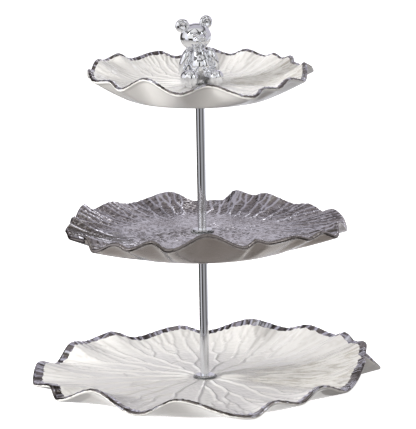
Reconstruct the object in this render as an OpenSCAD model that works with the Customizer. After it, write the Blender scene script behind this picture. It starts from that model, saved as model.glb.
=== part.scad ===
// Three-tier cake stand: ruffled leaf plates on chrome posts with a seated bear finial.
// Origin: on the post axis, in the plane of the bottom plate's foot ring. +Z up, -Y to the front.

/* [Tiers] */
// Nominal diameter of the bottom plate
bottom_size = 305; // [290:1:320]
// Nominal diameter of the middle plate
middle_size = 254; // [240:1:270]
// Nominal diameter of the top plate
top_size = 200; // [190:1:210]
// Height from one plate's hub to the next
tier_pitch = 133; // [110:1:160]
// Turn of the middle plate about the post
middle_turn = 200; // [0:1:359]
// Turn of the top plate about the post
top_turn = 14; // [0:1:359]

/* [Leaf plates] */
// Height of the hub's upper face above the foot ring
hub_height = 11; // [10.5:0.5:14]
// Thickness of the plate at the hub
hub_thickness = 4.5; // [3.5:0.5:5]
// Mean height of the rim above the foot ring
rim_height = 21; // [20:0.5:26]
// Thickness of the rim's edge
edge_thickness = 3.4; // [2.5:0.1:4.5]
// Diameter of the hole for the stud
plate_bore = 7; // [6.5:0.1:9]
// Outer diameter of the bottom plate's foot ring
foot_ring = 196; // [180:1:204]

/* [Posts and hardware] */
// Outer diameter of the chrome posts
post_diameter = 8; // [7.5:0.1:10]
// Wall thickness of the posts
post_wall = 0.6; // [0.4:0.1:0.8]
// Diameter of the chrome washers
washer_diameter = 17.5; // [15:0.5:22]
// Thickness of the chrome washers
washer_thickness = 1.5; // [1:0.1:2]
// Diameter of the clear gaskets
gasket_diameter = 21; // [18:0.5:26]
// Thickness of the clear gaskets
gasket_thickness = 1; // [0.6:0.1:1.4]
// Nominal diameter of the studs
stud_diameter = 5; // [4:0.5:5]
// Depth that a stud screws into a post
stud_depth = 12; // [8:1:16]

/* [Bear finial] */
// Height of the bear from its seat to its ears
bear_height = 60; // [50:1:70]
// Turn of the bear's body about the post
bear_turn = 8; // [-20:1:20]
// Turn of the head from the body
head_turn = 14; // [0:1:25]
// Sideways tilt of the head
head_tilt = 4; // [0:1:12]
// Depth that the stud screws into the bear
finial_depth = 6.4; // [4:0.4:8]

/* [Hidden] */
$fn = 64;
// Crests and troughs round each leaf's rim: [angle from the leaf's own front, height, reach], with
// heights and reaches as they are at the list's size. The three leaves are one design, hand finished.
BOTTOM_RIM = [
    [16, 12, 147], [26, 20, 140], [35, 16, 143], [46, 24, 140], [62, 13, 142], [85.5, 27.5, 144.5],
    [89.5, 20, 152.5], [94, 13, 158], [99, 15, 155], [104, 19, 151], [110, 25, 156], [121, 19, 162],
    [125, 25, 160], [131, 20, 161], [140, 27, 153], [149, 22, 151], [160, 32, 135], [180, 21, 133],
    [189, 25, 142], [208, 20, 138], [216, 26, 150], [224, 20, 158], [235, 26, 150], [244, 12, 152],
    [262, 24, 153], [276, 16, 154], [288, 20, 144], [295, 13, 145], [313, 27, 133], [334, 13, 136],
    [349, 25, 129]
];
MIDDLE_RIM = [
    [13, 13, 148], [26, 20, 141], [39, 16, 142], [46, 26, 141], [62, 12, 141], [84, 31, 140],
    [90, 22, 153], [96, 18, 155], [105, 18, 151], [110, 26, 159], [116, 15, 164], [126, 25, 160],
    [131, 21, 161], [140, 29, 153], [146, 21, 152], [162, 34, 135], [180, 19, 133], [184, 26, 137], [190.5, 22.5, 139],
    [203, 25, 141.5], [211, 20.5, 145], [217, 25, 149], [224, 18, 157], [234, 26, 150], [248, 12, 154], [274, 18, 157],
    [279, 12, 154], [288, 18, 150], [295, 16, 145], [308, 26, 134], [314, 23, 131], [323, 27, 131],
    [331, 14, 136], [342, 13, 136], [356, 25, 133]
];
TOP_RIM = [
    [14, 9, 150], [24, 17, 140], [33, 15, 142], [45, 23, 139], [64, 15, 144], [84, 29, 145],
    [90, 21, 157], [96, 14, 164], [101, 16, 160], [107, 20, 152], [110, 27, 154], [121, 20, 162],
    [125, 25, 160], [131, 20, 160], [140, 28, 153], [149, 20, 150], [161, 31, 134], [180, 18, 137],
    [189, 25, 144], [209, 19, 140], [215, 27, 149], [223, 20, 157], [234, 25, 151], [246, 9, 152],
    [261, 23, 150], [278, 16, 152], [289, 19, 143], [298, 12, 144], [313, 28, 133], [334, 12, 136],
    [351, 23, 127]
];
// Height that the list above is drawn about, and the diameter it is drawn for
LIST_HEIGHT = 21;
LIST_SIZE = 305;
// How far the right-hand side of each rim stands above its mean
BOTTOM_LEAN = 2.5;
MIDDLE_LEAN = -1.5;
TOP_LEAN = -2.5;
// Extra rim height of the two smaller plates, which are as deep as the large one
MIDDLE_RISE = 1;
TOP_RISE = 2;
// Steps round the rim and from the floor's edge out to the rim
STEPS = 96;
WALL_STEPS = 7;
// Where the floor ends and the wall begins, and the hub's flat, on the bottom plate
FLOOR_RADIUS = 88;
HUB_RADIUS = 24;
FLOOR_DROP = 0.8;
RECESS = 2.6;
FOOT_WIDTH = 9;
TOP_CURL = 1.7;
UNDER_CURL = 1.15;
// Screw head under the bottom plate
HEAD_DIAMETER = 9.5;
HEAD_HEIGHT = 2.2;
THREAD_CLEARANCE = 0.05;
INSERT_LENGTH = 16;
FINIAL_INSERT_DIAMETER = 7.4;
FINIAL_INSERT_LENGTH = 9;
// Facets round a limb, and the height that the bear's own dimensions below are drawn for
LIMB_FACETS = 24;
BEAR_DRAWN = 60;

// Stack of heights on the post axis
bottom_hub = hub_height;
middle_hub = bottom_hub + tier_pitch;
top_hub = middle_hub + tier_pitch;
under_stack = gasket_thickness + washer_thickness;
post_length = tier_pitch - hub_thickness - 2 * under_stack;
lower_post_base = bottom_hub + under_stack;
lower_post_top = lower_post_base + post_length;
upper_post_base = middle_hub + under_stack;
upper_post_top = upper_post_base + post_length;
bottom_under = bottom_hub - hub_thickness;
middle_under = middle_hub - hub_thickness;
top_under = top_hub - hub_thickness;
finial_base = top_hub + gasket_thickness;
post_bore = post_diameter - 2 * post_wall;
stud_radius = stud_diameter / 2 - THREAD_CLEARANCE;
thread_radius = stud_diameter / 2;
hole_radius = thread_radius + 2 * THREAD_CLEARANCE;

WHITE_GLAZE = [0.93, 0.92, 0.90];
SILVER_LUSTRE = [0.72, 0.71, 0.70];
CHROME = [0.80, 0.81, 0.83];
CLEAR = [0.85, 0.88, 0.90, 0.6];
STEEL = [0.62, 0.63, 0.65];

// Smooth step between two neighbouring crests and troughs
function ease(t) = (1 - cos(180 * t)) / 2;
function wrap(a) = a - 360 * floor(a / 360);
function row_at(rim, m) = max([for (i = [0 : len(rim) - 1]) if (rim[i][0] <= m) i]);
function rim_value(rim, angle, column) =
    let (
        m = rim[0][0] + wrap(angle - rim[0][0]),
        i = row_at(rim, m),
        j = (i + 1) % len(rim),
        next = rim[j][0] + (j == 0 ? 360 : 0),
        t = (m - rim[i][0]) / (next - rim[i][0])
    )
    rim[i][column] + (rim[j][column] - rim[i][column]) * ease(t);

// Half section of a plate at one angle, from the hub's upper edge out over the rim and back under
function leaf_section(k, rise, reach, height) =
    let (
        floor_z = hub_height - FLOOR_DROP,
        floor_r = FLOOR_RADIUS * k,
        foot_r = foot_ring / 2 * k,
        lip_r = reach - edge_thickness * 0.45,
        lip_z = height - edge_thickness,
        under_z = hub_height - hub_thickness
    )
    concat(
        [[HUB_RADIUS * k, hub_height], [HUB_RADIUS * k * 1.4, hub_height - FLOOR_DROP * 0.6]],
        [[floor_r * 0.75, floor_z]],
        [for (i = [0 : WALL_STEPS])
            let (s = i / WALL_STEPS)
            [floor_r + (reach - edge_thickness * 0.5 - floor_r) * s,
             floor_z + (height - floor_z) * pow(s, TOP_CURL)]],
        [[reach - edge_thickness * 0.12, height - edge_thickness * 0.22],
         [reach, height - edge_thickness * 0.58]],
        [for (i = [WALL_STEPS : -1 : 0])
            let (s = i / WALL_STEPS)
            [foot_r + (lip_r - foot_r) * s, lip_z * pow(s, UNDER_CURL)]],
        [[foot_r - FOOT_WIDTH * k, 0], [foot_r - FOOT_WIDTH * k - RECESS, RECESS]],
        [[HUB_RADIUS * k * 1.6, under_z - 0.6], [HUB_RADIUS * k, under_z]]
    );

// Ruffled leaf plate: closed mesh turned about the post, with a true bore through its hub
module leaf_plate(rim, size, turn, rise, lean, hub_z) {
    k = size / LIST_SIZE;
    sections = [for (a = [0 : STEPS - 1])
        let (
            phi = 360 * a / STEPS,
            reach = k * rim_value(rim, phi - turn, 2),
            swell = k * (rim_value(rim, phi - turn, 1) - LIST_HEIGHT),
            height = rim_height + rise + swell + lean * sin(phi)
        )
        [for (p = leaf_section(k, rise, reach, height)) [p[0] * sin(phi), -p[0] * cos(phi), p[1]]]];
    rows = len(sections[0]);
    points = [for (s = sections) each s];
    sides = [for (a = [0 : STEPS - 1], i = [0 : rows - 2])
        let (b = (a + 1) % STEPS, p = a * rows + i, q = b * rows + i)
        each [[p, q, q + 1], [p, q + 1, p + 1]]];
    top_face = [for (a = [STEPS - 1 : -1 : 0]) a * rows];
    under_face = [for (a = [0 : STEPS - 1]) a * rows + rows - 1];
    translate([0, 0, hub_z - hub_height])
        difference() {
            polyhedron(points = points, faces = concat(sides, [top_face], [under_face]), convexity = 8);
            translate([0, 0, -1]) cylinder(h = hub_height + 2, d = plate_bore);
        }
}

module disc(d, h, bore, z) {
    translate([0, 0, z])
        difference() {
            cylinder(h = h, d = d);
            translate([0, 0, -1]) cylinder(h = h + 2, r = bore);
        }
}

// Chrome washer with its upper and lower edges rolled over
module washer(z) {
    edge = washer_thickness * 0.3;
    translate([0, 0, z])
        rotate_extrude()
            polygon([
                [hole_radius, 0], [washer_diameter / 2 - edge, 0], [washer_diameter / 2, edge],
                [washer_diameter / 2, washer_thickness - edge],
                [washer_diameter / 2 - edge, washer_thickness], [hole_radius, washer_thickness]
            ]);
}

module gasket(z) {
    disc(gasket_diameter, gasket_thickness, hole_radius, z);
}

module post(z) {
    disc(post_diameter, post_length, post_bore / 2, z);
}

module insert(z) {
    disc(post_bore, INSERT_LENGTH, thread_radius, z);
}

module stud(from_z, to_z) {
    chamfer = 0.5;
    translate([0, 0, from_z])
        rotate_extrude()
            polygon([
                [0, 0], [stud_radius - chamfer, 0], [stud_radius, chamfer],
                [stud_radius, to_z - from_z - chamfer],
                [stud_radius - chamfer, to_z - from_z], [0, to_z - from_z]
            ]);
}

module base_screw() {
    color(STEEL) {
        head_z = bottom_under - under_stack - HEAD_HEIGHT;
        difference() {
            union() {
                translate([0, 0, head_z]) cylinder(h = HEAD_HEIGHT, d = HEAD_DIAMETER);
                stud(head_z + HEAD_HEIGHT / 2, lower_post_base + stud_depth);
            }
            for (a = [0, 90])
                rotate([0, 0, a]) translate([-2.6, -0.5, head_z - 1]) cube([5.2, 1, 2]);
        }
    }
}

module base_washer() {
    color(STEEL) washer(bottom_under - under_stack);
}

module base_gasket() {
    color(CLEAR) gasket(bottom_under - gasket_thickness);
}

module bottom_plate() {
    color(WHITE_GLAZE) leaf_plate(BOTTOM_RIM, bottom_size, 0, 0, BOTTOM_LEAN, bottom_hub);
}

module bottom_top_gasket() {
    color(CLEAR) gasket(bottom_hub);
}

module bottom_flange() {
    color(CHROME) washer(bottom_hub + gasket_thickness);
}

module lower_post() {
    color(CHROME) post(lower_post_base);
}

module lower_post_insert_bottom() {
    color(STEEL) insert(lower_post_base);
}

module lower_post_insert_top() {
    color(STEEL) insert(lower_post_top - INSERT_LENGTH);
}

module mid_under_washer() {
    color(CHROME) washer(lower_post_top);
}

module mid_under_gasket() {
    color(CLEAR) gasket(middle_under - gasket_thickness);
}

module middle_plate() {
    color(SILVER_LUSTRE)
        leaf_plate(MIDDLE_RIM, middle_size, middle_turn, MIDDLE_RISE, MIDDLE_LEAN, middle_hub);
}

module mid_top_gasket() {
    color(CLEAR) gasket(middle_hub);
}

module mid_flange() {
    color(CHROME) washer(middle_hub + gasket_thickness);
}

module mid_stud() {
    color(STEEL) stud(lower_post_top - stud_depth, upper_post_base + stud_depth);
}

module upper_post() {
    color(CHROME) post(upper_post_base);
}

module upper_post_insert_bottom() {
    color(STEEL) insert(upper_post_base);
}

module upper_post_insert_top() {
    color(STEEL) insert(upper_post_top - INSERT_LENGTH);
}

module top_under_washer() {
    color(CHROME) washer(upper_post_top);
}

module top_under_gasket() {
    color(CLEAR) gasket(top_under - gasket_thickness);
}

module top_plate() {
    color(WHITE_GLAZE) leaf_plate(TOP_RIM, top_size, top_turn, TOP_RISE, TOP_LEAN, top_hub);
}

module top_stud() {
    color(STEEL) stud(upper_post_top - stud_depth, finial_base + finial_depth);
}

module finial_gasket() {
    color(CLEAR) disc(14, gasket_thickness, hole_radius, top_hub);
}

module finial_insert() {
    color(STEEL) disc(FINIAL_INSERT_DIAMETER, FINIAL_INSERT_LENGTH, thread_radius, finial_base);
}

module ball(at, r) {
    translate(at) sphere(r = r);
}

// Round-ended limb from one joint to the next
module limb(from, to, r_from, r_to) {
    hull() {
        translate(from) sphere(r = r_from, $fn = LIMB_FACETS);
        translate(to) sphere(r = r_to, $fn = LIMB_FACETS);
    }
}

// Seated bear, facing -Y before it is turned: legs forward, arms down
module bear_body() {
    limb([0, 1, 11], [0, 1, 24], 11, 8.6);
    for (side = [-1, 1]) {
        limb([side * 9, 0, 27], [side * 13.2, -2, 12], 4, 4.6);
        limb([side * 6, -3, 7], [side * 10.5, -20, 7], 6.8, 5.8);
        ball([side == 1 ? 11.2 : -12.8, side == 1 ? -23.2 : -25, 7.8], side == 1 ? 7 : 7.8);
    }
    cylinder(h = 4, d = 14);
}

module bear_head() {
    ball([0, 0, 0], 12.8);
    ball([0, -8.6, -2], 6);
    for (side = [-1, 1])
        translate([side * 11.2, 3, 11.2]) rotate([90, 0, 0]) cylinder(h = 4.6, r = 5.7);
}

module bear_finial() {
    color(CHROME)
        translate([0, 0, finial_base])
            rotate([0, 0, bear_turn])
                difference() {
                    scale(bear_height / BEAR_DRAWN) {
                        bear_body();
                        translate([-2.6, -1, 41])
                            rotate([0, 0, head_turn]) rotate([0, -head_tilt, 0]) bear_head();
                    }
                    translate([0, 0, -1])
                        cylinder(h = FINIAL_INSERT_LENGTH + 1.5, d = FINIAL_INSERT_DIAMETER);
                }
}

base_screw();
base_washer();
base_gasket();
bottom_plate();
bottom_top_gasket();
bottom_flange();
lower_post();
lower_post_insert_bottom();
lower_post_insert_top();
mid_under_washer();
mid_under_gasket();
middle_plate();
mid_top_gasket();
mid_flange();
mid_stud();
upper_post();
upper_post_insert_bottom();
upper_post_insert_top();
top_under_washer();
top_under_gasket();
top_plate();
top_stud();
finial_gasket();
finial_insert();
bear_finial();
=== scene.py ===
import math
import random

import bpy
import numpy as np
from mathutils import Matrix, Vector, kdtree


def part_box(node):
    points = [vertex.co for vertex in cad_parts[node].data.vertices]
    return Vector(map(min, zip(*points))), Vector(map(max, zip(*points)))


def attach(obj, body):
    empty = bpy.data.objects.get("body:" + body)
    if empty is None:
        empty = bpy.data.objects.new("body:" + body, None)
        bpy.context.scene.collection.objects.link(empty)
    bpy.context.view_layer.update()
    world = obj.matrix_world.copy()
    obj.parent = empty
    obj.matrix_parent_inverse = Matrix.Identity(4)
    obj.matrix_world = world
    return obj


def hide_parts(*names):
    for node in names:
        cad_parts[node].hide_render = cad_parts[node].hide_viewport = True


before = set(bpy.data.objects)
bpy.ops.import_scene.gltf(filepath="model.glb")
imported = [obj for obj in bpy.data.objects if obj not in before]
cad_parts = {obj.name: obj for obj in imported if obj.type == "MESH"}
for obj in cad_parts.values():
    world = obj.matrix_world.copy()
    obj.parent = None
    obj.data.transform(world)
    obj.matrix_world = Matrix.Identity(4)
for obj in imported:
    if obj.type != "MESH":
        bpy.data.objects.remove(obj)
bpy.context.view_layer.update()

MM = 0.001
TAU = 2.0 * math.pi

# ---------------------------------------------------------------- dimensions, in mm, as in the CAD
# Crests and troughs round each leaf's rim: angle from the leaf's own front, height, reach. The CAD has the
# same lists. Most rows came out of a fit to the photograph's rim, and the others were set one by one.
BOTTOM_RIM = [
    (16, 12, 147), (26, 20, 140), (35, 16, 143), (46, 24, 140), (62, 13, 142), (85.5, 27.5, 144.5),
    (89.5, 20, 152.5), (94, 13, 158), (99, 15, 155), (104, 19, 151), (110, 25, 156), (121, 19, 162),
    (125, 25, 160), (131, 20, 161), (140, 27, 153), (149, 22, 151), (160, 32, 135), (180, 21, 133),
    (189, 25, 142), (208, 20, 138), (216, 26, 150), (224, 20, 158), (235, 26, 150), (244, 12, 152),
    (262, 24, 153), (276, 16, 154), (288, 20, 144), (295, 13, 145), (313, 27, 133), (334, 13, 136),
    (349, 25, 129),
]
MIDDLE_RIM = [
    (13, 13, 148), (26, 20, 141), (39, 16, 142), (46, 26, 141), (62, 12, 141), (84, 31, 140),
    (90, 22, 153), (96, 18, 155), (105, 18, 151), (110, 26, 159), (116, 15, 164), (126, 25, 160),
    (131, 21, 161), (140, 29, 153), (146, 21, 152), (162, 34, 135), (180, 19, 133), (184, 26, 137),
    (190.5, 22.5, 139), (203, 25, 141.5), (211, 20.5, 145), (217, 25, 149), (224, 18, 157), (234, 26, 150),
    (248, 12, 154), (274, 18, 157), (279, 12, 154), (288, 18, 150), (295, 16, 145), (308, 26, 134),
    (314, 23, 131), (323, 27, 131), (331, 14, 136), (342, 13, 136), (356, 25, 133),
]
TOP_RIM = [
    (14, 9, 150), (24, 17, 140), (33, 15, 142), (45, 23, 139), (64, 15, 144), (84, 29, 145),
    (90, 21, 157), (96, 14, 164), (101, 16, 160), (107, 20, 152), (110, 27, 154), (121, 20, 162),
    (125, 25, 160), (131, 20, 160), (140, 28, 153), (149, 20, 150), (161, 31, 134), (180, 18, 137),
    (189, 25, 144), (209, 19, 140), (215, 27, 149), (223, 20, 157), (234, 25, 151), (246, 9, 152),
    (261, 23, 150), (278, 16, 152), (289, 19, 143), (298, 12, 144), (313, 28, 133), (334, 12, 136),
    (351, 23, 127),
]
# diameter that the lists are drawn for, and the height that they are drawn about
LIST_SIZE = 305.0
LIST_HEIGHT = 21.0
HUB_HEIGHT = 11.0
HUB_THICKNESS = 4.5
RIM_HEIGHT = 21.0
EDGE = 3.4
BORE_R = 3.5
FOOT_R = 98.0
FOOT_WIDTH = 9.0
FLOOR_R = 88.0
HUB_R = 24.0
FLOOR_DROP = 0.8
RECESS = 2.6
# powers that curl the wall's upper face and its underside
TOP_CURL = 1.7
UNDER_CURL = 1.15
TIER_PITCH = 133.0
GASKET = 1.0
BEAR_TURN = 8.0
# name: rim, size, turn, rise, lean, hub height
PLATES = {
    "bottom": (BOTTOM_RIM, 305.0, 0.0, 0.0, 2.5, HUB_HEIGHT),
    "middle": (MIDDLE_RIM, 254.0, 200.0, 1.0, -1.5, HUB_HEIGHT + TIER_PITCH),
    "top": (TOP_RIM, 200.0, 14.0, 2.0, -2.5, HUB_HEIGHT + 2 * TIER_PITCH),
}
# the plate mesh: columns round it, rings on its floor and wall, and the wall's length along the mould
AROUND = 640
FLOOR_RINGS = 62
WALL_RINGS = 56
WALL_SPAN = 60.0
VEIN_WIDTH = 1.35
WRINKLE_WIDTH = 0.7
CREASE_AT = 86.5
CREASE_WIDTH = 1.6
CELL = 7.0
# the mould's side with fine straight wrinkles instead of forked veins: middle angle and half width
WRINKLES_AT = 88.0
WRINKLES_HALF = 30.0


def mould_angles():
    """Angles of the mesh's columns, closer together where the wrinkles are."""
    fine = np.linspace(0.0, 360.0, 7201)
    off = np.abs(fine - WRINKLES_AT)
    weight = 1.0 + 1.2 * np.clip((WRINKLES_HALF + 6.0 - off) / 10.0, 0.0, 1.0)
    total = np.concatenate([[0.0], np.cumsum((weight[1:] + weight[:-1]) / 2.0)])
    return np.radians(np.interp(np.arange(AROUND) / AROUND, total / total[-1], fine))


MOULD = mould_angles()


# ---------------------------------------------------------------- small helpers
def make_mesh(name, verts, faces, smooth=True, attrs=None):
    me = bpy.data.meshes.new(name)
    verts = np.asarray(verts, dtype=np.float32)
    faces = np.asarray(faces, dtype=np.int32)
    n = faces.shape[1]
    me.vertices.add(len(verts))
    me.vertices.foreach_set("co", verts.ravel())
    me.loops.add(faces.size)
    me.loops.foreach_set("vertex_index", faces.ravel())
    me.polygons.add(len(faces))
    me.polygons.foreach_set("loop_start", np.arange(0, faces.size, n, dtype=np.int32))
    me.polygons.foreach_set("loop_total", np.full(len(faces), n, dtype=np.int32))
    me.update(calc_edges=True)
    me.validate()
    if smooth:
        me.polygons.foreach_set("use_smooth", np.ones(len(me.polygons), dtype=bool))
    for key, values in (attrs or {}).items():
        a = me.attributes.new(key, "FLOAT", "POINT")
        a.data.foreach_set("value", np.asarray(values, dtype=np.float32).ravel())
    ob = bpy.data.objects.new(name, me)
    bpy.context.scene.collection.objects.link(ob)
    return ob


def ring_faces(rows, cols, offset=0):
    i, a = np.meshgrid(np.arange(rows - 1), np.arange(cols), indexing="ij")
    b = (a + 1) % cols
    q = np.stack([i * cols + a, (i + 1) * cols + a, (i + 1) * cols + b, i * cols + b], axis=-1)
    return q.reshape(-1, 4) + offset


def smoothstep(t):
    t = np.clip(t, 0.0, 1.0)
    return t * t * (3.0 - 2.0 * t)


class Nodes:
    """A material's node tree, built a node at a time."""

    def __init__(self, name):
        self.mat = bpy.data.materials.new(name)
        self.mat.use_nodes = True
        self.nt = self.mat.node_tree
        self.bsdf = next(n for n in self.nt.nodes if n.type == "BSDF_PRINCIPLED")
        self.out = next(n for n in self.nt.nodes if n.type == "OUTPUT_MATERIAL")

    def add(self, kind, inputs=None, **props):
        n = self.nt.nodes.new(kind)
        for k, v in props.items():
            setattr(n, k, v)
        for k, v in (inputs or {}).items():
            if isinstance(v, bpy.types.NodeSocket):
                self.nt.links.new(v, n.inputs[k])
            else:
                n.inputs[k].default_value = v
        return n

    def link(self, a, b):
        self.nt.links.new(a, b)

    def set(self, **values):
        for k, v in values.items():
            key = k.replace("_", " ")
            if isinstance(v, bpy.types.NodeSocket):
                self.link(v, self.bsdf.inputs[key])
            else:
                self.bsdf.inputs[key].default_value = v

    def attr(self, name):
        return self.add("ShaderNodeAttribute", attribute_name=name).outputs["Fac"]

    def math(self, op, a, b):
        n = self.add("ShaderNodeMath", operation=op)
        for i, v in enumerate((a, b)):
            if isinstance(v, bpy.types.NodeSocket):
                self.link(v, n.inputs[i])
            else:
                n.inputs[i].default_value = v
        return n.outputs[0]

    def ramp(self, fac, lo, hi, out_lo=0.0, out_hi=1.0, smooth=True):
        n = self.add("ShaderNodeMapRange", interpolation_type="SMOOTHSTEP" if smooth else "LINEAR")
        self.link(fac, n.inputs["Value"])
        n.inputs["From Min"].default_value = lo
        n.inputs["From Max"].default_value = hi
        n.inputs["To Min"].default_value = out_lo
        n.inputs["To Max"].default_value = out_hi
        return n.outputs["Result"]

    def mix(self, fac, a, b):
        n = self.add("ShaderNodeMix", data_type="RGBA")
        for key, v in ((0, fac), (6, a), (7, b)):
            if isinstance(v, bpy.types.NodeSocket):
                self.link(v, n.inputs[key])
            else:
                n.inputs[key].default_value = v
        return n.outputs[2]

    def mixf(self, fac, a, b):
        n = self.add("ShaderNodeMix", data_type="FLOAT")
        for key, v in ((0, fac), (2, a), (3, b)):
            if isinstance(v, bpy.types.NodeSocket):
                self.link(v, n.inputs[key])
            else:
                n.inputs[key].default_value = v
        return n.outputs[0]

    def coords(self):
        return self.add("ShaderNodeTexCoord").outputs["Object"]

    def noise(self, scale, detail=3.0, rough=0.5, vector=None):
        n = self.add("ShaderNodeTexNoise")
        n.inputs["Scale"].default_value = scale
        n.inputs["Detail"].default_value = detail
        n.inputs["Roughness"].default_value = rough
        self.link(vector or self.coords(), n.inputs["Vector"])
        return n.outputs["Fac"]

    def bump(self, height, strength, distance, normal=None):
        n = self.add("ShaderNodeBump")
        n.inputs["Strength"].default_value = strength
        n.inputs["Distance"].default_value = distance
        self.link(height, n.inputs["Height"])
        if normal is not None:
            self.link(normal, n.inputs["Normal"])
        return n.outputs["Normal"]


def rgb(r, g, b):
    return (r, g, b, 1.0)


# ---------------------------------------------------------------- the leaf mould
def rim_value(rim, angle_deg, column):
    """Value of a rim list's column at an angle, eased from each crest or trough to the next."""
    ang = np.array([row[0] for row in rim] + [rim[0][0] + 360.0], dtype=float)
    val = np.array([row[column] for row in rim] + [rim[0][column]], dtype=float)
    m = ang[0] + np.mod(angle_deg - ang[0], 360.0)
    i = np.clip(np.searchsorted(ang, m, side="right") - 1, 0, len(rim) - 1)
    t = (m - ang[i]) / (ang[i + 1] - ang[i])
    return val[i] + (val[i + 1] - val[i]) * (1.0 - np.cos(np.pi * t)) / 2.0


def ring_taus():
    """Pseudo radii of the top surface's rings: true radius on the floor, stretched on the wall."""
    floor = BORE_R + 0.6 + (FLOOR_R - BORE_R - 0.6) * np.linspace(0.0, 1.0, FLOOR_RINGS + 1) ** 0.97
    wall = FLOOR_R + WALL_SPAN * np.linspace(0.0, 1.0, WALL_RINGS + 1)[1:]
    return np.concatenate([floor, wall])


class Vein:
    """One vein of the leaf: its angle as a function of pseudo radius, between two radii."""

    def __init__(self, start, end, angle_at, strength, seed):
        rng = random.Random(seed)
        self.start, self.end, self.angle_at, self.strength = start, end, angle_at, strength
        self.sway = rng.uniform(0.5, 1.1)
        self.phase = rng.uniform(0.0, TAU)
        self.wave = rng.uniform(16.0, 26.0)

    def angle(self, tau):
        grow = smoothstep((tau - 14.0) / 20.0)
        sway = self.sway * grow * np.sin(tau * TAU / self.wave / 1.6 + self.phase) / np.maximum(tau, 12.0)
        return self.angle_at(tau) + sway


def grow_veins():
    """Veins that fork twice or three times on their way from the hub to the rim, with cross links."""
    rng = random.Random(41)
    veins = []
    primaries = 15
    last = FLOOR_R + WALL_SPAN + 2.0

    def sprout(angle_at, start, width, level, strength):
        forks = ((26.0, 58.0), (68.0, 94.0), (104.0, 124.0))
        if level < len(forks):
            lo, hi = forks[level]
            fork = rng.uniform(lo, hi)
        else:
            fork = last
        veins.append(Vein(start, fork, angle_at, strength, len(veins)))
        if fork >= last:
            return
        reach = rng.uniform(13.0, 24.0)
        lean = rng.uniform(-0.1, 0.1)
        for side in (-1.0, 1.0):
            swing = width * (0.25 + lean * side) * side

            def child(tau, a=angle_at, f=fork, s=swing, r=reach):
                return a(np.minimum(tau, f)) + s * smoothstep((tau - f) / r) ** 0.8

            sprout(child, fork, width / 2.0, level + 1, strength * 0.93)

    for p in range(primaries):
        base = TAU * (p + rng.uniform(-0.16, 0.16)) / primaries
        sprout(lambda tau, b=base: b + 0.0 * tau, 9.0, TAU / primaries, 0, 1.0)
    main = list(veins)
    for v in main:
        if rng.random() < 0.3 and v.end - v.start > 16.0:
            at = rng.uniform(v.start + 6.0, v.end - 6.0)
            here = float(v.angle(np.array(at)))
            others = [float(o.angle(np.array(at))) - here
                      for o in main if o is not v and o.start <= at <= o.end]
            gaps = [((g + math.pi) % TAU) - math.pi for g in others]
            side = rng.choice((-1.0, 1.0))
            gaps = [g for g in gaps if g * side > 0.01]
            if not gaps:
                continue
            gap = min(gaps, key=abs)
            if abs(gap) * at > 26.0:
                continue
            length = rng.uniform(5.0, 9.0)
            rng.choice((-1.0, 1.0))  # a spare draw: without it every later cross link changes

            def link(tau, a=here, f=at, g=gap, n=length):
                return a + g * np.clip((tau - f) / n, 0.0, 1.0)

            veins.append(Vein(at, at + length, link, 0.55, 900 + len(veins)))
    return veins


def between(deg, middle):
    """Degrees from a middle angle, -180 to 180."""
    return np.mod(deg - middle + 180.0, 360.0) - 180.0


def mould_radii(taus):
    """True radius of every point of the mould's grid, in the bottom plate's size."""
    reach = rim_value(BOTTOM_RIM, np.degrees(MOULD), 2)
    return np.where(
        taus[:, None] <= FLOOR_R,
        taus[:, None],
        FLOOR_R + (reach[None, :] - EDGE / 2 - FLOOR_R) * (taus[:, None] - FLOOR_R) / WALL_SPAN,
    )


def vein_relief(taus, rho):
    """Height of the forked veins, 0..1."""
    ridge = np.zeros((len(taus), AROUND))
    veins = grow_veins()
    step = 0.5
    for i, tau in enumerate(taus):
        best = np.zeros(AROUND)
        for v in veins:
            if not v.start - 0.8 <= tau <= v.end + 0.8:
                continue
            t = min(max(tau, v.start), v.end)
            a = float(v.angle(np.array(t)))
            ahead = float(v.angle(np.array(t + step)))
            behind = float(v.angle(np.array(t - step)))
            slope = (ahead - behind) / (2 * step)
            d = np.abs(np.mod(MOULD - a + math.pi, TAU) - math.pi) * rho[i]
            d = d / math.sqrt(1.0 + (slope * tau) ** 2)
            best = np.maximum(best, v.strength * np.exp(-((d / VEIN_WIDTH) ** 2)))
        ridge[i] = best
    return ridge


def wrinkle_relief(taus, rho):
    """Height of the fine straight wrinkles that one side of the mould has instead of veins."""
    deg = np.degrees(MOULD)
    rng = random.Random(19)
    wrinkle = np.zeros((len(taus), AROUND))
    a = WRINKLES_AT - WRINKLES_HALF - 4.0
    while a < WRINKLES_AT + WRINKLES_HALF + 4.0:
        start = rng.uniform(34.0, 96.0)
        tall = rng.uniform(0.6, 1.0)
        run = rng.uniform(30.0, 80.0)
        bend = rng.uniform(-1.6, 1.6)
        phase = rng.uniform(0.0, TAU)
        for _ in range(2):
            at = a + bend * np.sin(taus / 17.0 + phase) * 22.0 / np.maximum(taus, 20.0)
            d = between(deg[None, :], at[:, None]) * math.pi / 180.0 * rho
            fade = smoothstep((taus - start) / 9.0) * (1.0 - smoothstep((taus - start - run) / 12.0))
            wrinkle = np.maximum(wrinkle, tall * fade[:, None] * np.exp(-((d / WRINKLE_WIDTH) ** 2)))
            start += run + rng.uniform(-8.0, 10.0)
        a += rng.uniform(1.7, 2.7)
    return wrinkle


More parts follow.
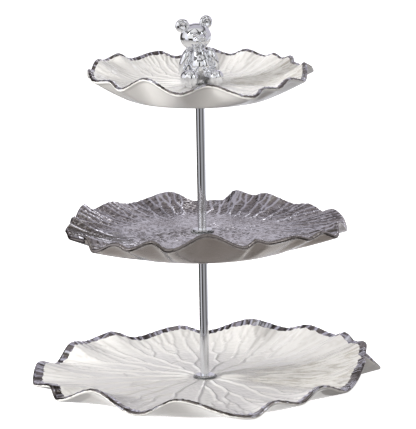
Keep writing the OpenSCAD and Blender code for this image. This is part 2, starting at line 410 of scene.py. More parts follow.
def net_relief(rho):
    """Net of small cells, 1 on the lines between them."""
    rng = random.Random(7)
    seeds = []
    r = CELL
    while r < 168.0:
        count = max(5, int(TAU * r / 4.8))
        for j in range(count):
            a = TAU * (j + rng.uniform(-0.36, 0.36) + 0.5 * (len(seeds) % 2)) / count
            rr = r + rng.uniform(-2.6, 2.6)
            seeds.append((rr * math.cos(a), rr * math.sin(a), 0.0))
        r += CELL
    tree = kdtree.KDTree(len(seeds))
    for j, s in enumerate(seeds):
        tree.insert(s, j)
    tree.balance()
    x = rho * np.cos(MOULD)[None, :]
    y = rho * np.sin(MOULD)[None, :]
    net = np.zeros_like(rho)
    for i in range(net.shape[0]):
        for j in range(AROUND):
            near = tree.find_n((x[i, j], y[i, j], 0.0), 2)
            net[i, j] = near[1][2] - near[0][2]
    return np.exp(-((net / 1.3) ** 2))


def leaf_relief():
    """Vein and net relief on the mould's own grid, ring by ring."""
    taus = ring_taus()
    rho = mould_radii(taus)
    deg = np.degrees(MOULD)
    ridge = vein_relief(taus, rho)
    wrinkle = wrinkle_relief(taus, rho)
    off = np.abs(between(deg, WRINKLES_AT))
    inner = taus[:, None] - 26.0
    inside = smoothstep((WRINKLES_HALF - off) / 9.0)[None, :] * smoothstep(inner / 22.0)
    ridge = np.maximum(ridge * (1.0 - 0.85 * inside), wrinkle * inside * 1.15)
    crease = np.exp(-((between(deg, CREASE_AT)[None, :] * math.pi / 180.0 * rho / CREASE_WIDTH) ** 2))
    ridge -= 0.9 * crease * (1.0 - smoothstep(inner / 30.0))
    return taus, ridge, net_relief(rho)


TAUS, RIDGE, NET = leaf_relief()


def plate_top(k, reach, height, vein_height, floor_share, net_height, phi):
    """Upper face: its points, radii, heights, relief and where the steep sides of its veins get painted
    shade.
    """
    floor_z = HUB_HEIGHT - FLOOR_DROP
    tau = TAUS[:, None]
    s = np.clip((tau - FLOOR_R) / WALL_SPAN, 0.0, 1.0)
    r = np.where(tau <= FLOOR_R, tau * k, FLOOR_R * k + (reach - EDGE / 2 - FLOOR_R * k) * s)
    r = np.maximum(r, BORE_R + 0.3 * np.arange(len(TAUS))[:, None] * (tau <= FLOOR_R))
    dish = smoothstep((tau - HUB_R) / (FLOOR_R * 0.75 - HUB_R))
    z = HUB_HEIGHT - FLOOR_DROP * dish + (height - floor_z) * s**TOP_CURL
    top = np.stack([r * np.sin(phi), -r * np.cos(phi), z + 0.0 * phi], axis=-1)
    d_ring = np.gradient(top, axis=0)
    d_round = np.roll(top, -1, axis=1) - np.roll(top, 1, axis=1)
    normal = np.cross(d_ring, d_round)
    normal /= np.maximum(np.linalg.norm(normal, axis=-1, keepdims=True), 1e-9)
    vein = vein_height * (floor_share + (1.0 - floor_share) * smoothstep((tau - 74.0) / 24.0)) * RIDGE
    relief = np.where(RIDGE > 0.0, np.maximum(vein, net_height * NET), vein)
    relief *= smoothstep((tau - 12.0) / 6.0)
    relief *= 0.55 + 0.45 * k
    calm = 1.0 - 0.3 * smoothstep((s - 0.97) / 0.03)
    top = top + normal * (relief * calm)[..., None]
    # painted shade on the steep sides of the veins, fading out towards the hub
    vein_side_shade = np.clip(4.0 * RIDGE * (1.0 - RIDGE), 0.0, 1.0) ** 2 * smoothstep((tau - 14.0) / 50.0)
    return top, r, z, relief, vein_side_shade


def hub_profile(foot, k):
    """Radius and height of the rings inside the foot: its ring, the recess, the hub and the bore."""
    inner = foot - FOOT_WIDTH * k
    under_z = HUB_HEIGHT - HUB_THICKNESS
    return [(foot - 0.6, 0.0), (foot - 2.0, 0.0), (inner + 1.0, 0.0), (inner + 0.2, 0.25),
            (inner - RECESS * 0.6, RECESS * 0.75), (inner - RECESS * 1.6, RECESS + 0.2),
            (HUB_R * k * 2.2, under_z - 1.4), (HUB_R * k * 1.5, under_z - 0.5),
            (HUB_R * k, under_z), (BORE_R + 2.5, under_z), (BORE_R + 0.5, under_z), (BORE_R, under_z + 0.5),
            (BORE_R, HUB_HEIGHT - 0.5)]


def build_plate(name, tier, vein_height, floor_share, net_height):
    rim_list, size, turn, rise, lean, hub_z = PLATES[tier]
    k = size / LIST_SIZE
    phi = MOULD + math.radians(turn)
    deg = np.degrees(MOULD)
    reach = k * rim_value(rim_list, deg, 2)
    height = RIM_HEIGHT + rise + k * (rim_value(rim_list, deg, 1) - LIST_HEIGHT) + lean * np.sin(phi)
    top, r, z, relief, vein_side_shade_top = plate_top(k, reach, height, vein_height, floor_share, net_height, phi)
    band = 1.0 if tier == "bottom" else 1.7
    rows = [top]
    rim = [band * np.hypot(r - reach, z - height)]
    under = [np.zeros_like(r)]
    lift = [relief]
    vein_side_shade = [vein_side_shade_top]

    def add_ring(radius, at, rim_mm, under_value):
        """A ring of the edge or the underside: radius, height, distance below the rim, which face."""
        zero = np.zeros(AROUND)
        rows.append(np.stack([radius * np.sin(phi), -radius * np.cos(phi), at + zero], axis=-1)[None])
        rim.append((rim_mm + zero)[None])
        under.append((under_value + zero)[None])
        lift.append(zero[None])
        vein_side_shade.append(zero[None])

    # rounded edge
    for t in np.radians([62.0, 34.0, 6.0, -24.0, -52.0, -78.0]):
        add_ring(reach - EDGE / 2 + EDGE / 2 * math.cos(t), height - EDGE / 2 + EDGE / 2 * math.sin(t),
                 -0.6 * EDGE * (1.0 - math.sin(t)) / 2, 0.0 if t > 0 else 0.5)
    # underside: wall down to the foot ring, then the ring, the recess and the hub
    foot = FOOT_R * k
    lip_r = reach - EDGE * 0.45
    lip_z = height - EDGE
    for u in np.linspace(1.0, 0.0, 15):
        radius = foot + (lip_r - foot) * u
        at = lip_z * u**UNDER_CURL + (0.25 if u == 0.0 else 0.0)
        add_ring(radius, at, -(0.9 * EDGE + np.hypot(radius - lip_r, at - lip_z)), 1.0)
    for radius, at in hub_profile(foot, k):
        add_ring(radius, at, -100.0, 2.0 if at < 0.3 else 1.0)
    grid = np.concatenate(rows, axis=0)
    grid[..., 2] += hub_z - HUB_HEIGHT
    count = grid.shape[0]
    a = np.arange(AROUND)
    b = (a + 1) % AROUND
    last = (count - 1) * AROUND
    closing = np.stack([last + a, a, b, last + b], axis=-1)
    faces = np.concatenate([ring_faces(count, AROUND), closing])[:, ::-1]
    wrinkled = smoothstep((WRINKLES_HALF + 5.0 - np.abs(deg - WRINKLES_AT)) / 12.0)
    spread = np.concatenate([TAUS, np.full(count - len(TAUS), 150.0)])
    attrs = {
        "rim_mm": np.concatenate(rim, axis=0),
        "under": np.concatenate(under, axis=0),
        "lift_mm": np.concatenate(lift, axis=0),
        "vein_side_shade": np.concatenate(vein_side_shade, axis=0),
        "round_mm": np.broadcast_to((MOULD * 100.0)[None, :], (count, AROUND)),
        "streaky": np.broadcast_to(wrinkled[None, :], (count, AROUND)),
        "spread": np.broadcast_to(spread[:, None], (count, AROUND)),
    }
    return make_mesh(name, grid.reshape(-1, 3) * MM, faces, attrs=attrs)


# ---------------------------------------------------------------- materials
def lustre(nodes, vector, dark, light):
    """Colour and roughness of the silver lustre: cloudy patches between a dark and a light colour, with fine
    changes of roughness. On the white plate's band both colours are dark, a painted dark reflection.
    """
    cloud = nodes.noise(60.0, 4.0, 0.65, vector)
    colour = nodes.mix(nodes.ramp(cloud, 0.38, 0.62), rgb(*dark), rgb(*light))
    fine = nodes.noise(700.0, 2.0, 0.6, vector)
    rough = nodes.ramp(fine, 0.3, 0.8, 0.05, 0.16)
    return colour, rough


def streaks(n):
    """Fine wavy lines that run outwards, 0..1, strong on the wrinkled side and faint elsewhere; a bump and
    painted shade use them.
    """
    spread = n.attr("spread")
    lie = n.add("ShaderNodeCombineXYZ")
    n.link(n.math("MULTIPLY", n.attr("round_mm"), 0.62), lie.inputs[0])
    n.link(n.math("MULTIPLY", spread, 0.055), lie.inputs[1])
    lines = n.ramp(n.noise(1.0, 3.0, 0.6, lie.outputs[0]), 0.5, 0.6)
    zone = n.math("MULTIPLY", n.attr("streaky"), n.ramp(spread, 26.0, 48.0))
    zone = n.math("MULTIPLY", zone, n.ramp(n.attr("under"), 0.3, 0.1))
    return n.math("MULTIPLY", lines, zone)


def white_plate_material():
    n = Nodes("white_glaze_with_silver_rim")
    obj = n.coords()
    rim = n.attr("rim_mm")
    lift = n.attr("lift_mm")
    under = n.attr("under")
    ridge_highlight = n.ramp(lift, 0.0, 0.5)
    cloud = n.noise(22.0, 3.0, 0.55, obj)
    body = n.mix(cloud, rgb(0.82, 0.808, 0.782), rgb(0.87, 0.86, 0.838))
    # painted highlight: the glaze made whiter along the raised veins
    body = n.mix(n.math("MULTIPLY", ridge_highlight, 0.6), body, rgb(0.93, 0.928, 0.92))
    # painted shade: the glaze darkened on the steep sides of the veins
    body = n.mix(n.math("MULTIPLY", n.attr("vein_side_shade"), 0.36), body, rgb(0.50, 0.465, 0.41))
    streak = streaks(n)
    # painted shade: the wrinkled side greyer all over, and darker still along its wavy lines
    body = n.mix(n.math("MULTIPLY", n.attr("streaky"), 0.16), body, rgb(0.52, 0.50, 0.46))
    body = n.mix(n.math("MULTIPLY", streak, 0.55), body, rgb(0.45, 0.41, 0.35))
    bare = n.ramp(under, 1.4, 1.8)
    body = n.mix(bare, body, rgb(0.74, 0.70, 0.63))
    # silver band inside the rim, with an uneven lower edge; a thin line of it folds over the edge
    wobble = n.math("MULTIPLY", n.noise(150.0, 2.0, 0.6, obj), 5.0)
    drift = n.math("MULTIPLY", n.noise(18.0, 1.0, 0.5, obj), 6.0)
    edge = n.math("ADD", n.math("ADD", wobble, drift), 2.6)
    inside = n.math("LESS_THAN", rim, edge)
    fold = n.math("ADD", n.math("MULTIPLY", n.noise(240.0, 2.0, 0.5, obj), -1.0), -0.35)
    outside = n.math("GREATER_THAN", rim, fold)
    band = n.math("MULTIPLY", inside, outside)
    # painted dark reflection: the band's metal coloured near-black to dark brown-grey in cloudy patches
    silver, silver_rough = lustre(n, obj, (0.10, 0.085, 0.075), (0.34, 0.31, 0.295))
    # painted highlights: pale lavender glints in random patches and on the raised veins
    painted_glint = n.math("MULTIPLY", n.ramp(n.noise(90.0, 2.0, 0.6, obj), 0.52, 0.6), 0.65)
    painted_glint = n.math("MAXIMUM", painted_glint, n.ramp(lift, 0.3, 0.75))
    silver = n.mix(painted_glint, silver, rgb(0.80, 0.80, 0.86))
    n.set(Base_Color=n.mix(band, body, silver))
    n.set(Metallic=band)
    glaze_rough = n.ramp(n.noise(90.0, 2.0, 0.5, obj), 0.3, 0.7, 0.07, 0.16)
    glaze_rough = n.mixf(bare, glaze_rough, 0.75)
    n.set(Roughness=n.mixf(band, glaze_rough, silver_rough))
    n.bsdf.inputs["IOR"].default_value = 1.52
    ripple = n.bump(n.noise(260.0, 3.0, 0.55, obj), 0.22, 0.0006)
    n.set(Normal=n.bump(n.math("SUBTRACT", 1.0, streak), 0.6, 0.0008, ripple))
    return n.mat


def silver_plate_material():
    n = Nodes("silver_lustre_plate")
    obj = n.coords()
    lift = n.attr("lift_mm")
    under = n.attr("under")
    silver, rough = lustre(n, obj, (0.50, 0.475, 0.47), (0.66, 0.645, 0.655))
    valley = n.ramp(lift, 0.0, 0.3)
    wall = n.ramp(n.attr("spread"), 84.0, 112.0)
    # painted dark reflection: the lustre darkened to brown-grey on the wall
    silver = n.mix(n.math("MULTIPLY", wall, 0.82), silver, rgb(0.22, 0.19, 0.172))
    # painted shade: the low cells between the raised net lines darkened
    silver = n.mix(n.math("MULTIPLY", n.math("SUBTRACT", 1.0, valley), 0.5), silver, rgb(0.30, 0.27, 0.26))
    # painted highlight: pale lavender on the raised net lines and veins
    silver = n.mix(n.math("MULTIPLY", n.ramp(lift, 0.3, 0.9), 0.65), silver, rgb(0.86, 0.85, 0.90))
    bare = n.ramp(under, 1.4, 1.8)
    n.set(Base_Color=n.mix(bare, silver, rgb(0.66, 0.62, 0.56)))
    n.set(Metallic=n.math("SUBTRACT", 1.0, bare))
    n.set(Roughness=n.mixf(bare, rough, 0.7))
    ripple = n.noise(300.0, 4.0, 0.6, obj)
    n.set(Normal=n.bump(ripple, 0.35, 0.0008))
    return n.mat


def chrome_material(name, tint=(0.86, 0.87, 0.89), rough=(0.03, 0.08)):
    n = Nodes(name)
    obj = n.coords()
    haze = n.noise(140.0, 3.0, 0.6, obj)
    n.set(Base_Color=n.mix(haze, rgb(tint[0] * 0.95, tint[1] * 0.95, tint[2] * 0.96), rgb(*tint)))
    n.set(Metallic=1.0)
    n.set(Roughness=n.ramp(haze, 0.3, 0.75, rough[0], rough[1]))
    n.set(Normal=n.bump(n.noise(500.0, 2.0, 0.5, obj), 0.05, 0.0002))
    return n.mat


def steel_material():
    n = Nodes("zinc_plated_steel")
    obj = n.coords()
    stretch = n.add("ShaderNodeMapping", {"Vector": obj})
    stretch.inputs["Scale"].default_value = (1.0, 1.0, 9.0)
    lines = n.noise(420.0, 3.0, 0.6, stretch.outputs[0])
    n.set(Base_Color=n.mix(lines, rgb(0.50, 0.51, 0.53), rgb(0.66, 0.67, 0.68)))
    n.set(Metallic=1.0)
    n.set(Roughness=n.ramp(lines, 0.25, 0.75, 0.22, 0.42))
    n.set(Normal=n.bump(lines, 0.15, 0.0002))
    return n.mat


def gasket_material():
    n = Nodes("clear_soft_plastic")
    obj = n.coords()
    cloud = n.noise(300.0, 3.0, 0.6, obj)
    n.set(Base_Color=n.mix(cloud, rgb(0.86, 0.89, 0.92), rgb(0.95, 0.96, 0.97)))
    n.set(Roughness=n.ramp(cloud, 0.3, 0.7, 0.12, 0.3))
    n.bsdf.inputs["Transmission Weight"].default_value = 0.85
    n.bsdf.inputs["IOR"].default_value = 1.48
    n.set(Normal=n.bump(cloud, 0.1, 0.0002))
    return n.mat


WHITE = white_plate_material()
SILVER = silver_plate_material()
CHROME = chrome_material("polished_chrome", rough=(0.015, 0.05))
BEAR_CHROME = chrome_material("plated_casting", (0.88, 0.885, 0.90), (0.02, 0.07))
STEEL = steel_material()
CLEAR = gasket_material()


def dress(node, material):
    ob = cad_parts[node]
    for slot in ob.material_slots:
        slot.material = material
    if not ob.material_slots:
        ob.data.materials.append(material)


# ---------------------------------------------------------------- plates
def plate_piece(tier, node, body, vein, share, net, material):
    ob = build_plate("leaf_plate_" + tier, tier, vein, share, net)
    ob.data.materials.append(material)
    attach(ob, body)
    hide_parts(node)


plate_piece("bottom", "bottom_plate", "base", 1.2, 1.0, 0.16, WHITE)
plate_piece("middle", "middle_plate", "middle", 1.5, 0.35, 0.65, SILVER)
plate_piece("top", "top_plate", "top", 1.2, 1.0, 0.16, WHITE)

for node in ("lower_post", "upper_post", "bottom_flange", "mid_flange", "mid_under_washer",
             "top_under_washer"):
    dress(node, CHROME)
for node in ("base_gasket", "bottom_top_gasket", "mid_under_gasket", "mid_top_gasket", "top_under_gasket",
             "finial_gasket"):
    dress(node, CLEAR)
for node in ("base_screw", "base_washer", "finial_insert", "lower_post_insert_bottom",
             "lower_post_insert_top", "upper_post_insert_bottom", "upper_post_insert_top"):
    dress(node, STEEL)


def threaded_stud(node, body, pitch=0.8):
    """A stud with its real helical thread and chamfered ends, in the CAD stud's place."""
    low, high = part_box(node)
    radius = (high[0] - low[0]) / 2.0 / MM
    bottom, top = low[2] / MM, high[2] / MM
    cols = 32
    z = np.linspace(bottom, top, int((top - bottom) / pitch * 8) + 1)
    turn = np.arange(cols) / cols
    tooth = np.abs(2.0 * np.mod(z[:, None] / pitch - turn[None, :], 1.0) - 1.0)
    chamfer = np.minimum(z - bottom, top - z)[:, None]
    r = np.minimum(radius - 0.46 * tooth, radius - 0.75 + chamfer)
    ang = TAU * turn
    grid = np.stack([r * np.cos(ang), r * np.sin(ang), z[:, None] + 0.0 * r], axis=-1)
    j = np.arange(cols // 2 - 1)
    cap = np.stack([j, cols - 1 - j, cols - 2 - j, j + 1], axis=-1)
    faces = np.concatenate([ring_faces(len(z), cols)[:, ::-1], cap, (cap + (len(z) - 1) * cols)[:, ::-1]])
    ob = make_mesh(node + "_threaded", grid.reshape(-1, 3) * MM, faces, smooth=False)
    ob.data.materials.append(STEEL)
    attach(ob, body)
    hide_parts(node)


threaded_stud("mid_stud", "stem")
threaded_stud("top_stud", "stem")


# ---------------------------------------------------------------- the bear, from smooth-blended solids
def ellipsoid(p, at, radii, turn=None):
    q = p - np.array(at)
    if turn is not None:
        q = q @ np.array(turn)
    radii = np.array(radii)
    k0 = np.linalg.norm(q / radii, axis=-1)
    k1 = np.linalg.norm(q / radii**2, axis=-1)
    return k0 * (k0 - 1.0) / np.maximum(k1, 1e-6)


def limb(p, a, b, ra, rb):
    a, b = np.array(a, float), np.array(b, float)
    ab = b - a
    t = np.clip(((p - a) @ ab) / (ab @ ab), 0.0, 1.0)
    return np.linalg.norm(p - a - t[..., None] * ab, axis=-1) - (ra + (rb - ra) * t)


def blend(a, b, k):
    h = np.clip(0.5 + 0.5 * (b - a) / k, 0.0, 1.0)
    return b + (a - b) * h - k * h * (1.0 - h)


def carve(a, b, k):
    return -blend(-a, b, k)


def euler(x=0.0, y=0.0, z=0.0):
    m = Matrix.Rotation(math.radians(z), 3, "Z") @ Matrix.Rotation(math.radians(y), 3, "Y")
    return np.array(m @ Matrix.Rotation(math.radians(x), 3, "X"))


HEAD_AT = (-3.0, -1.0, 40.6)
HEAD_TURN = euler(y=-4.0, z=14.0)


def bear_field(p):
    d = limb(p, (0, 1, 11), (-0.6, 0.5, 24), 10.4, 8.2)
    d = blend(d, ellipsoid(p, (0, -3.0, 15.5), (9.6, 9.4, 10.8)), 2.0)
    for side in (-1.0, 1.0):
        arm_turn = euler(y=side * -17.0, z=side * 20.0)
        arm = ellipsoid(p, (side * 12.7 - 0.8, -3.0, 19.4), (4.3, 5.6, 12.2), arm_turn)
        leg = limb(p, (side * 6, -3, 7), (side * 10.8 - 0.4, -19.5, 7), 6.9, 5.9)
        size = 7.1 if side > 0 else 8.0
        at = (11.2, -23.2, 7.4) if side > 0 else (-12.8, -25.0, 7.9)
        foot = ellipsoid(p, at, (size, size * 0.82, size), euler(z=side * 22.0))
        sole = ellipsoid(p, (at[0] * 1.08, at[1] - size * 0.86, at[2] + 0.6), (size * 0.62, 1.5, size * 0.62),
                         euler(z=side * 22.0))
        d = blend(d, leg, 1.4)
        d = blend(d, foot, 0.9)
        d = blend(d, sole, 0.35)
        d = blend(d, arm, 0.45)
    d = np.minimum(d, np.maximum(np.hypot(p[..., 0], p[..., 1]) - 7.0, np.abs(p[..., 2] - 2.0) - 2.0))
    q = (p - np.array(HEAD_AT)) @ HEAD_TURN
    head = ellipsoid(q, (0, 0, 0), (13.9, 12.6, 12.0))
    for side in (-1.0, 1.0):
        tip = euler(y=side * 22.0, z=side * 8.0)
        ear = ellipsoid(q, (side * 11.2, 1.2, 11.2), (6.3, 3.2, 6.3), tip)
        ear = carve(ear, ellipsoid(q, (side * 11.4, -4.2, 11.4), (4.6, 3.4, 4.6), tip), 0.9)
        head = blend(head, ear, 1.1)
    head = blend(head, ellipsoid(q, (0.3, -9.4, -1.6), (7.4, 6.4, 5.6)), 0.8)
    head = blend(head, ellipsoid(q, (0.3, -15.3, 0.9), (2.9, 1.5, 1.9)), 0.35)
    for side in (-1.0, 1.0):
        head = carve(head, ellipsoid(q, (0.3 + side * 2.7, -15.6, -1.0), (0.9, 1.1, 1.1)), 0.3)
        head = blend(head, ellipsoid(q, (side * 5.2, -10.6, 4.4), (1.5, 1.0, 1.6)), 0.3)
        smile = limb(q, (0.3, -15.7, -4.0), (0.3 + side * 3.0, -14.4, -5.2), 0.5, 0.4)
        head = carve(head, smile, 0.4)
    head = carve(head, limb(q, (0.3, -16.1, -1.8), (0.3, -15.7, -4.0), 0.4, 0.4), 0.4)
    d = blend(d, head, 0.9)
    hole = np.maximum(np.hypot(p[..., 0], p[..., 1]) - 3.7, p[..., 2] - 9.5)
    return np.maximum(d, -hole)


def surface_net(field, low, high, step):
    """Mesh of a field's zero surface: one point in each crossed cell, pulled onto the surface."""
    low, high = np.array(low, float), np.array(high, float)
    n = np.ceil((high - low) / step).astype(int) + 1
    axes = [low[i] + step * np.arange(n[i]) for i in range(3)]
    value = np.empty(n)
    for k, z in enumerate(axes[2]):
        gx, gy = np.meshgrid(axes[0], axes[1], indexing="ij")
        value[:, :, k] = field(np.stack([gx, gy, np.full_like(gx, z)], axis=-1))
    inside = value < 0.0
    total = np.zeros(n - 1, dtype=int)
    for dx in (0, 1):
        for dy in (0, 1):
            for dz in (0, 1):
                total += inside[dx:n[0] - 1 + dx, dy:n[1] - 1 + dy, dz:n[2] - 1 + dz]
    cell = (total > 0) & (total < 8)
    index = -np.ones(n - 1, dtype=int)
    index[cell] = np.arange(cell.sum())
    ijk = np.argwhere(cell)
    verts = low + (ijk + 0.5) * step
    for _ in range(6):
        e = 0.05
        f = field(verts)
        g = np.stack([field(verts + d) - field(verts - d) for d in np.eye(3) * e], axis=-1)
        g /= 2 * e
        move = -(f / np.maximum((g**2).sum(-1), 0.2))[:, None] * g
        verts = verts + np.clip(move, -0.4 * step, 0.4 * step)
    faces = []
    for axis in range(3):
        b, c = (axis + 1) % 3, (axis + 2) % 3
        lo = [slice(None)] * 3
        hi = [slice(None)] * 3
        lo[axis], hi[axis] = slice(0, -1), slice(1, None)
        crossing = inside[tuple(lo)] != inside[tuple(hi)]
        at = np.argwhere(crossing)
        keep = (at[:, b] > 0) & (at[:, c] > 0) & (at[:, b] < n[b] - 1) & (at[:, c] < n[c] - 1)
        at = at[keep]
        rising = inside[tuple(at.T)]
        corners = []
        for db, dc in ((0, 0), (-1, 0), (-1, -1), (0, -1)):
            o = at.copy()
            o[:, b] += db
            o[:, c] += dc
            corners.append(index[tuple(o.T)])
        quad = np.stack(corners, axis=-1)
        quad[rising] = quad[rising][:, ::-1]
        faces.append(quad)
    g /= np.maximum(np.linalg.norm(g, axis=-1, keepdims=True), 1e-6)
    return verts, np.concatenate(faces)[:, ::-1], g


def build_bear():
    step = 0.5
    verts, faces, normals = surface_net(bear_field, (-25, -35, -1.5), (24, 16, 63), step)
    ob = make_mesh("seated_bear", verts, faces)
    ob.data.normals_split_custom_set_from_vertices(normals.tolist())
    turn = Matrix.Rotation(math.radians(BEAR_TURN), 4, "Z")
    lift = Matrix.Translation((0.0, 0.0, HUB_HEIGHT + 2 * TIER_PITCH + GASKET))
    ob.data.transform(Matrix.Scale(MM, 4) @ lift @ turn)
    ob.data.materials.append(BEAR_CHROME)
    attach(ob, "finial")
    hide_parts("bear_finial")


build_bear()


# ---------------------------------------------------------------- camera, as the photograph stands
EYE = (0.0, -3.018, 0.798)
PITCH = 11.82
ROLL = 1.04
# the photograph's centre lies this far right of the tilted axis and below it, in degrees
AIM_RIGHT = 0.098587
AIM_DOWN = 0.129807
SENSOR = 36.0
LENS = 301.7596


def set_camera():
    pitch = math.radians(PITCH)
    roll = math.radians(ROLL)
    forward = Vector((0.0, math.cos(pitch), -math.sin(pitch)))
    right = Vector((1.0, 0.0, 0.0))
    up = right.cross(forward)
    side = right * math.cos(roll) - up * math.sin(roll)
    top = right * math.sin(roll) + up * math.cos(roll)
    aim = side * math.tan(math.radians(AIM_RIGHT)) - top * math.tan(math.radians(AIM_DOWN))
    forward = (forward + aim).normalized()
    side = (side - forward * side.dot(forward)).normalized()
    top = side.cross(forward)
    cam = bpy.data.cameras.new("camera")
    cam.sensor_fit = "HORIZONTAL"
    cam.sensor_width = SENSOR
    cam.lens = LENS
    cam.clip_end = 60.0
    ob = bpy.data.objects.new("camera", cam)
    m = Matrix((side, top, -forward)).transposed().to_4x4()
    m.translation = EYE
    ob.matrix_world = m
    bpy.context.scene.collection.objects.link(ob)
    bpy.context.scene.camera = ob


set_camera()


# ---------------------------------------------------------------- studio, in metres
FLOOR_NEAR = 1.8
BACKDROP_R = 9.0
SKY_R = 4.0
STAGE_COLUMNS = 96
# (degrees round the object from its front, brightness) of what the floor and the sky show in reflections
FLOOR_TONES = [
    (-180, 1.0), (-152, 0.3), (-142, 0.0), (-106, 0.0), (-94, 0.3), (-80, 0.5), (-66, 0.82), (-48, 0.8),
    (-41, 0.0), (-17, 0.0), (-10, 0.42), (4, 0.5), (27, 0.62), (40, 0.5), (50, 0.2), (64, 0.2), (84, 0.55),
    (104, 0.8), (130, 1.0), (180, 1.0),
]
SKY_TONES = [
    (-180, 0.66), (-112, 0.6), (-92, 0.9), (-74, 0.95), (-68, 0.05), (-58, 0.05), (-52, 1.0), (-20, 0.95),
    (26, 0.8), (32, 0.05), (40, 0.05), (46, 0.9), (80, 0.8), (108, 0.6), (180, 0.66),
]
# (elevation, brightness) of the sky
SKY_HEIGHTS = [(2, 1.0), (36, 1.0), (42, 0.15), (48, 0.12), (54, 0.9), (90, 0.9)]


def area(name, at, target, size, power, colour):
    data = bpy.data.lights.new(name, "AREA")
    data.shape = "RECTANGLE"
    data.size, data.size_y = size
    data.energy = power
    data.color = colour
    ob = bpy.data.objects.new(name, data)
    aim = (Vector(target) - Vector(at)).to_track_quat("-Z", "Y")
    ob.matrix_world = Matrix.Translation(at) @ aim.to_matrix().to_4x4()
    ob.visible_glossy = False
    ob.visible_camera = False
    bpy.context.scene.collection.objects.link(ob)


def tone_at(x, pairs):
    """Value at x of a list of (place, value) pairs, straight between them."""
    return float(np.interp(x, [p[0] for p in pairs], [p[1] for p in pairs]))


def ring_panel(name, inner, outer, z, tones):
    """A flat ring that only reflections see, with a brightness that changes round the object."""
    steps = 180
    verts, faces, level = [], [], []
    for i in range(steps):
        a = TAU * i / steps - math.pi
        for r in (inner, outer):
            verts.append((r * math.sin(a), -r * math.cos(a), z))
            level.append(tone_at(math.degrees(a), tones))
        j = (i + 1) % steps
        faces.append((2 * i, 2 * i + 1, 2 * j + 1, 2 * j))
    ob = make_mesh(name, verts, faces, attrs={"level": level})
    n = Nodes(name)
    level = n.attr("level")
    glow = n.add("ShaderNodeEmission")
    n.link(n.mix(level, rgb(0.10, 0.085, 0.075), rgb(0.90, 0.91, 0.96)), glow.inputs["Color"])
    n.link(n.ramp(level, 0.0, 1.0, 0.3, 1.0, smooth=False), glow.inputs["Strength"])
    n.link(glow.outputs[0], n.out.inputs["Surface"])
    ob.data.materials.append(n.mat)
    only_reflections(ob)


def reflected_sky(tones, heights):
    """A dome that only reflections see: its level is a tone round the object times one by elevation."""
    across, up = 120, 24
    verts, level, tint = [], [], []
    for i in range(up + 1):
        el = 2.0 + 88.0 * i / up
        for j in range(across):
            az = 360.0 * j / across - 180.0
            a, e = math.radians(az), math.radians(el)
            flat = SKY_R * math.cos(e)
            verts.append((flat * math.sin(a), -flat * math.cos(a), SKY_R * math.sin(e)))
            level.append(tone_at(el, heights) * tone_at(az, tones))
            tint.append(float(smoothstep((abs(az) - 80.0) / 40.0)))
    ob = make_mesh("reflected_sky", verts, ring_faces(up + 1, across), attrs={"level": level, "tint": tint})
    n = Nodes("reflected_sky")
    glow = n.add("ShaderNodeEmission")
    pale = n.mix(n.attr("tint"), rgb(1.0, 1.0, 1.0), rgb(0.95, 0.92, 1.03))
    n.link(n.mix(n.attr("level"), rgb(0.03, 0.027, 0.025), pale), glow.inputs["Color"])
    n.link(glow.outputs[0], n.out.inputs["Surface"])
    ob.data.materials.append(n.mat)
    only_reflections(ob)


def only_reflections(ob):
    ob.visible_camera = False
    ob.visible_diffuse = False
    ob.visible_shadow = False
    ob.visible_transmission = False


def panel(name, corners, colour, strength):
    """A flat card that only reflections see."""
    ob = make_mesh(name, corners, [(0, 1, 2, 3)])
    n = Nodes(name)
    glow = n.add("ShaderNodeEmission")
    tone = n.noise(2.0, 2.0, 0.5)
    n.link(n.mix(tone, rgb(*[0.85 * c for c in colour]), rgb(*colour)), glow.inputs["Color"])
    glow.inputs["Strength"].default_value = strength
    n.link(glow.outputs[0], n.out.inputs["Surface"])
    ob.data.materials.append(n.mat)
    only_reflections(ob)


def upright(azimuth, distance, width, low, high):
    """Corners of a card that stands at an azimuth and faces the object."""
    a = math.radians(azimuth)
    out = Vector((math.sin(a), -math.cos(a), 0.0))
    side = Vector((math.cos(a), math.sin(a), 0.0))
    c = [out * distance + side * s * width / 2 + Vector((0, 0, z)) for s, z in
         ((-1, low), (1, low), (1, high), (-1, high))]
    return [tuple(v) for v in c]


def floor():
    """A pale floor that is open from below."""
    n = Nodes("pale_floor")
    tone = n.noise(3.0, 2.0, 0.5)
    n.set(Base_Color=n.mix(tone, rgb(0.93, 0.93, 0.93), rgb(0.95, 0.95, 0.95)))
    n.set(Roughness=0.6)
    n.bsdf.inputs["Emission Color"].default_value = rgb(1.0, 1.0, 1.0)
    n.bsdf.inputs["Emission Strength"].default_value = 0.8
    clear = n.add("ShaderNodeBsdfTransparent")
    below = n.add("ShaderNodeMixShader")
    n.link(n.add("ShaderNodeNewGeometry").outputs["Backfacing"], below.inputs[0])
    n.link(n.bsdf.outputs[0], below.inputs[1])
    n.link(clear.outputs[0], below.inputs[2])
    n.link(below.outputs[0], n.out.inputs["Surface"])
    for name, radii in (("studio_floor", (0.001, FLOOR_NEAR)),
                        ("studio_floor_far", (FLOOR_NEAR, BACKDROP_R))):
        verts = []
        for r in radii:
            for j in range(STAGE_COLUMNS):
                a = TAU * j / STAGE_COLUMNS
                verts.append((r * math.cos(a), r * math.sin(a), -0.0004))
        ob = make_mesh(name, verts, ring_faces(2, STAGE_COLUMNS))
        ob.data.materials.append(n.mat)
        ob.visible_diffuse = False
        ob.visible_glossy = name == "studio_floor"


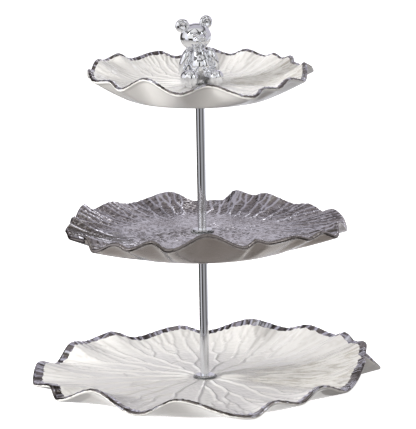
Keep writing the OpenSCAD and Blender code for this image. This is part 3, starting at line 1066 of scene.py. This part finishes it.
def backdrop():
    """A white sphere all round that only the camera sees."""
    rings = 17
    verts = []
    for i in range(rings):
        el = math.radians(-88.0 + 11.0 * i)
        for j in range(STAGE_COLUMNS):
            a = TAU * j / STAGE_COLUMNS
            flat = BACKDROP_R * math.cos(el)
            verts.append((flat * math.cos(a), flat * math.sin(a), BACKDROP_R * math.sin(el)))
    ob = make_mesh("backdrop", verts, ring_faces(rings, STAGE_COLUMNS))
    n = Nodes("backdrop_white")
    glow = n.add("ShaderNodeEmission")
    n.link(n.mix(n.noise(2.0), rgb(1.0, 1.0, 1.0), rgb(1.01, 1.01, 1.01)), glow.inputs["Color"])
    n.link(glow.outputs[0], n.out.inputs["Surface"])
    ob.data.materials.append(n.mat)
    ob.visible_diffuse = ob.visible_glossy = ob.visible_shadow = False


def world_light():
    """Soft grey light from all round, cooler and brighter from behind the object."""
    world = bpy.data.worlds.new("studio")
    bpy.context.scene.world = world
    world.use_nodes = True
    nt = world.node_tree
    bg = nt.nodes["Background"]
    coord = nt.nodes.new("ShaderNodeTexCoord")
    split = nt.nodes.new("ShaderNodeSeparateXYZ")
    nt.links.new(coord.outputs["Generated"], split.inputs[0])
    back = nt.nodes.new("ShaderNodeMapRange")
    back.inputs["From Min"].default_value = -0.1
    back.inputs["From Max"].default_value = 0.8
    nt.links.new(split.outputs["Y"], back.inputs["Value"])
    mix = nt.nodes.new("ShaderNodeMix")
    mix.data_type = "RGBA"
    nt.links.new(back.outputs["Result"], mix.inputs[0])
    mix.inputs[6].default_value = rgb(0.27, 0.255, 0.245)
    mix.inputs[7].default_value = rgb(0.40, 0.39, 0.43)
    nt.links.new(mix.outputs[2], bg.inputs["Color"])
    bg.inputs["Strength"].default_value = 1.0


def reflections():
    """What only reflections see: floor, sky, dark flags, pale cards and narrow bright strips."""
    ring_panel("reflected_floor", 0.125, 3.0, 0.002, FLOOR_TONES)
    reflected_sky(SKY_TONES, SKY_HEIGHTS)
    panel("flag_left", upright(-132, 1.6, 0.9, 0.0, 1.5), (0.05, 0.045, 0.04), 1.0)
    panel("flag_right", upright(74, 1.7, 0.35, 0.0, 1.4), (0.06, 0.055, 0.05), 1.0)
    panel("flag_front", upright(-4, 1.6, 0.4, 0.0, 1.2), (0.03, 0.03, 0.03), 1.0)
    panel("card_left", upright(-64, 1.6, 0.7, 0.0, 1.3), (0.92, 0.93, 1.0), 1.2)
    panel("card_right", upright(36, 1.8, 0.6, 0.5, 1.6), (0.85, 0.86, 0.92), 1.0)
    panel("strip_left", upright(-52, 1.5, 0.16, 0.9, 1.9), (0.93, 0.94, 1.0), 6.0)
    panel("strip_right", upright(60, 1.6, 0.12, 0.7, 1.8), (0.93, 0.94, 1.0), 4.0)
    panel("strip_back", upright(160, 1.6, 0.14, 0.8, 1.9), (0.93, 0.94, 1.0), 4.0)


def lights():
    centre = (0.0, 0.0, 0.17)
    area("key_left", (-1.45, -0.8, 0.7), (0.0, 0.0, 0.08), (0.5, 0.5), 25.0, (1.0, 0.995, 0.985))
    area("fill_right", (1.5, -0.9, 0.9), centre, (0.6, 0.9), 1.2, (0.97, 0.98, 1.0))
    area("top_back", (-0.1, 0.6, 1.8), centre, (1.6, 0.8), 11.0, (1.0, 1.0, 0.995))
    area("front_high", (-0.2, -2.4, 1.5), centre, (1.4, 0.8), 22.5, (1.0, 0.992, 0.975))
    area("floor_bounce", (-0.75, -0.7, 0.012), (-0.1, 0.0, 0.2), (1.5, 0.7), 4.0, (1.0, 0.985, 0.96))


floor()
backdrop()
world_light()
reflections()
lights()
view = bpy.context.scene.view_settings
view.view_transform = "Standard"

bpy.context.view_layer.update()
